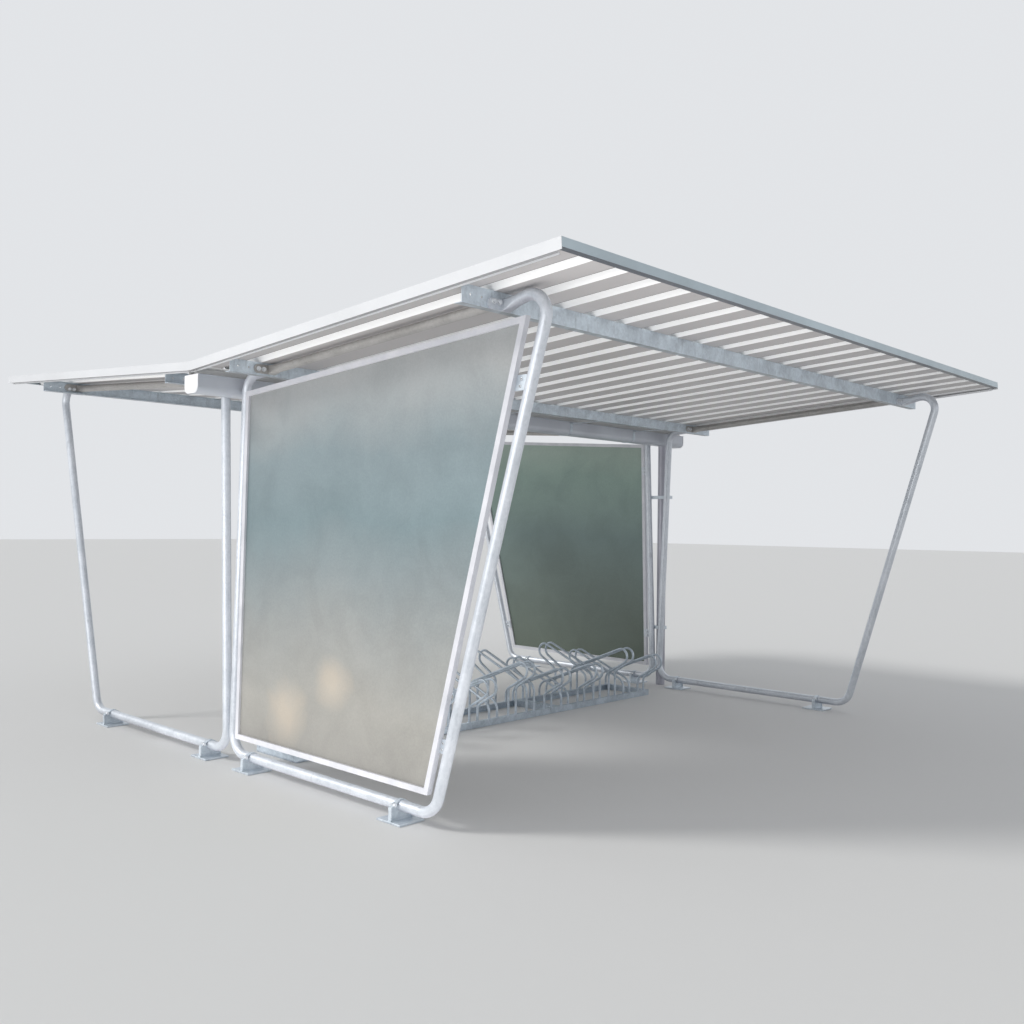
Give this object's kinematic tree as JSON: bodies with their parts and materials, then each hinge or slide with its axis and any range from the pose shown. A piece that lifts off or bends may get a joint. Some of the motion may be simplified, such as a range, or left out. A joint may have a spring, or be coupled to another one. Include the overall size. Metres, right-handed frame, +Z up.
{
  "type": "bike shelter",
  "caption": "Open steel bike shelter with a butterfly roof on bent tube frames, a middle gutter, side panels and a double-sided rack of hairpin hoops.",
  "frame": {"origin": "on the ground in the middle of the shelter, under the gutter", "axes": "+X across the shelter to the half with the near side panel, +Y along the gutter to the downpipe, +Z up"},
  "size_m": [5.0014, 4.36, 2.2463],
  "materials": {
    "galvanised_tube": "hot-dip galvanised, satin",
    "galvanised_purlin": "mottled galvanised",
    "roof_sheet": "light coated sheet",
    "eave_trim": "galvanised",
    "verge_trim": "white coated sheet",
    "gutter": "white coated sheet",
    "galvanised_fitting": "galvanised",
    "downpipe": "grey plastic",
    "panel_bar": "white coated bar",
    "panel_sheet": "satin, fine vertical grain",
    "rack_steel": "galvanised"
  },
  "bodies": {
    "root": {"near_right_frame": "galvanised_tube", "near_left_frame": "galvanised_tube", "far_right_frame": "galvanised_tube", "far_left_frame": "galvanised_tube", "near_right_rafter": "galvanised_tube", "near_left_rafter": "galvanised_tube", "far_right_rafter": "galvanised_tube", "far_left_rafter": "galvanised_tube", "right_outer_purlin": "galvanised_purlin", "right_inner_purlin": "galvanised_purlin", "left_inner_purlin": "galvanised_purlin", "left_outer_purlin": "galvanised_purlin", "right_roof_sheet": "roof_sheet", "left_roof_sheet": "roof_sheet", "right_eave_trim": "eave_trim", "left_eave_trim": "eave_trim", "near_verge_trim": "verge_trim", "far_verge_trim": "verge_trim", "drip_flashings": "verge_trim", "gutter": "gutter", "gutter_end_caps": "gutter", "gutter_hangers": "galvanised_fitting", "downpipe": "downpipe", "downpipe_clips": "galvanised_fitting", "near_panel_frame": "panel_bar", "near_panel_sheet": "panel_sheet", "near_panel_tabs": "galvanised_fitting", "far_panel_frame": "panel_bar", "far_panel_sheet": "panel_sheet", "far_panel_tabs": "galvanised_fitting", "near_right_feet": "galvanised_fitting", "near_left_feet": "galvanised_fitting", "far_right_feet": "galvanised_fitting", "far_left_feet": "galvanised_fitting", "near_rack_base": "rack_steel", "middle_rack_base": "rack_steel", "far_rack_base": "rack_steel", "near_rack_right_hoops": "rack_steel", "near_rack_left_hoops": "rack_steel", "middle_rack_right_hoops": "rack_steel", "middle_rack_left_hoops": "rack_steel", "far_rack_right_hoops": "rack_steel", "far_rack_left_hoops": "rack_steel"}
  },
  "joints": []
}
